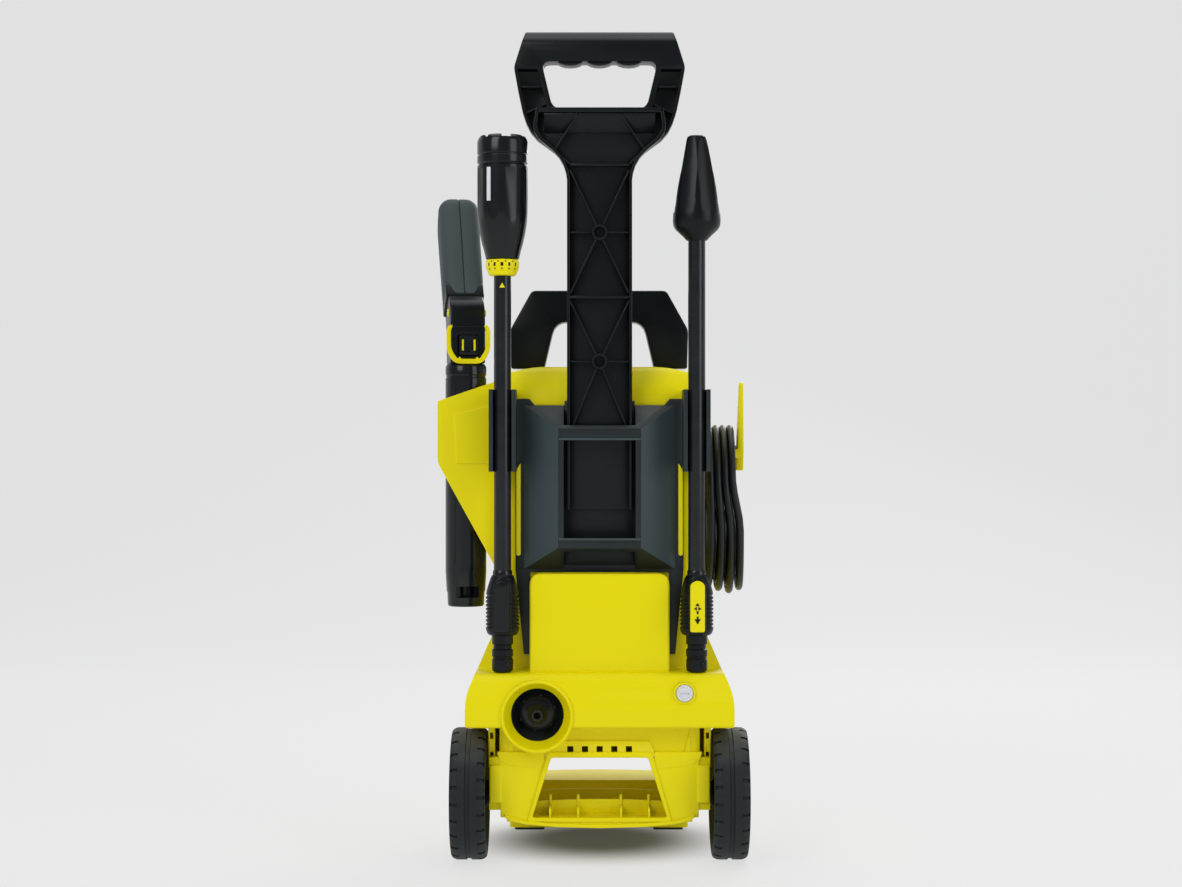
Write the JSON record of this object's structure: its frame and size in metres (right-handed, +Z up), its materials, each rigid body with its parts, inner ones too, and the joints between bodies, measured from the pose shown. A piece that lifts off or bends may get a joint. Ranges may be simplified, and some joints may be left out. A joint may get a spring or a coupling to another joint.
{
  "type": "pressure washer",
  "caption": "Upright electric pressure washer on two wheels, with telescopic pull handle, spray gun, two lances and a coiled mains cable.",
  "frame": {"origin": "on the ground, under the middle of the machine without its cable", "axes": "+Z up, -Y towards the rear, which carries the lances and the pull handle, +X to the right seen from behind"},
  "size_m": [0.3003, 0.2446, 0.778],
  "materials": {
    "yellow_plastic": "moulded, semi-gloss",
    "black_plastic": "moulded, semi-gloss",
    "slate_plastic": "moulded, satin",
    "soft_grip": "soft matt",
    "wheel_rubber": "matt",
    "cable_rubber": "satin",
    "steel": "turned",
    "cast_alloy": "cast",
    "brass": "turned",
    "white_plastic": "moulded"
  },
  "bodies": {
    "casing": {"front_shell": "yellow_plastic", "rear_shell": "yellow_plastic", "base_frame": "yellow_plastic", "gun_holster": "yellow_plastic", "cable_hook": "yellow_plastic", "carry_handle": "black_plastic", "inlet_connector": "black_plastic", "rear_panel": "slate_plastic", "front_panel": "slate_plastic", "motor_end_cap": "slate_plastic", "switch_box": "slate_plastic", "rubber_foot_left": "wheel_rubber", "rubber_foot_right": "wheel_rubber", "motor_mount_left": "wheel_rubber", "motor_mount_right": "wheel_rubber", "cable_gland": "cable_rubber", "cable_lead": "cable_rubber", "cable_coil": "cable_rubber", "cable_tail": "cable_rubber", "mains_plug": "cable_rubber", "axle_left": "steel", "axle_right": "steel", "stator": "steel", "piston_1": "steel", "piston_2": "steel", "piston_3": "steel", "pump_housing": "cast_alloy", "cylinder_head": "cast_alloy", "pressure_outlet": "brass", "detergent_plug": "white_plastic"},
    "wheel_left": {"wheel_left": "wheel_rubber", "hub_cap_left": "slate_plastic"},
    "wheel_right": {"wheel_right": "wheel_rubber", "hub_cap_right": "slate_plastic"},
    "pull_handle": {"pull_handle": "black_plastic"},
    "power_knob": {"power_knob": "yellow_plastic"},
    "rotor": {"rotor": "steel", "cooling_fan": "black_plastic", "swash_plate": "steel"},
    "vario_lance": {"vario_connector": "black_plastic", "vario_sleeve": "black_plastic", "vario_inset": "black_plastic", "vario_tube": "black_plastic"},
    "vario_head": {"vario_ring": "yellow_plastic", "vario_head": "black_plastic", "vario_nozzle": "brass"},
    "blaster_lance": {"blaster_connector": "black_plastic", "blaster_sleeve": "black_plastic", "blaster_inset": "yellow_plastic", "blaster_tube": "black_plastic", "blaster_head": "black_plastic"},
    "blaster_rotor": {"blaster_rotor": "brass"},
    "spray_gun": {"gun_barrel": "black_plastic", "gun_body": "black_plastic", "gun_frame": "yellow_plastic", "gun_grip_left": "soft_grip", "gun_grip_right": "soft_grip"},
    "gun_release": {"gun_release_button": "black_plastic"},
    "trigger": {"trigger": "black_plastic"},
    "trigger_lock": {"trigger_lock": "yellow_plastic"}
  },
  "joints": [
    {"name": "wheel_left_roll", "type": "hinge", "parent": "casing", "child": "wheel_left", "pos_m": [-0.11028, -0.06082, 0.0615], "axis": [1, 0, 0], "continuous": true},
    {"name": "wheel_right_roll", "type": "hinge", "parent": "casing", "child": "wheel_right", "pos_m": [0.13312, -0.06082, 0.0615], "axis": [1, 0, 0], "continuous": true},
    {"name": "handle_slide", "type": "slide", "parent": "casing", "child": "pull_handle", "axis": [0, 0, 1], "range_m": [-0.225, 0]},
    {"name": "knob_turn", "type": "hinge", "parent": "casing", "child": "power_knob", "pos_m": [0.01142, 0.10418, 0.3], "axis": [0, 1, 0], "range_deg": [0, 90]},
    {"name": "rotor_spin", "type": "hinge", "parent": "casing", "child": "rotor", "pos_m": [0.01142, 0.01918, 0.3], "axis": [0, 0, 1], "continuous": true},
    {"name": "vario_lift", "type": "slide", "parent": "casing", "child": "vario_lance", "axis": [0, 0, 1], "range_m": [0, 0.09]},
    {"name": "vario_turn", "type": "hinge", "parent": "vario_lance", "child": "vario_head", "pos_m": [-0.07858, -0.08982, 0.6], "axis": [0, 0, 1], "range_deg": [0, 150]},
    {"name": "blaster_lift", "type": "slide", "parent": "casing", "child": "blaster_lance", "axis": [0, 0, 1], "range_m": [0, 0.09]},
    {"name": "blaster_spin", "type": "hinge", "parent": "blaster_lance", "child": "blaster_rotor", "pos_m": [0.10142, -0.08982, 0.665], "axis": [0, 0, 1], "continuous": true},
    {"name": "gun_lift", "type": "slide", "parent": "casing", "child": "spray_gun", "axis": [0, 0, 1], "range_m": [0, 0.215]},
    {"name": "gun_release_push", "type": "slide", "parent": "spray_gun", "child": "gun_release", "axis": [-0.1736, 0.9848, 0], "range_m": [0, 0.003], "stiffness_N_per_m": 400},
    {"name": "trigger_pull", "type": "hinge", "parent": "spray_gun", "child": "trigger", "pos_m": [-0.12208, 0.00816, 0.498], "axis": [0.9848, 0.1736, 0], "range_deg": [0, 7], "stiffness_Nm_per_rad": 0.5},
    {"name": "trigger_lock_push", "type": "slide", "parent": "spray_gun", "child": "trigger_lock", "axis": [0.9848, 0.1736, 0], "range_m": [-0.002, 0]}
  ]
}
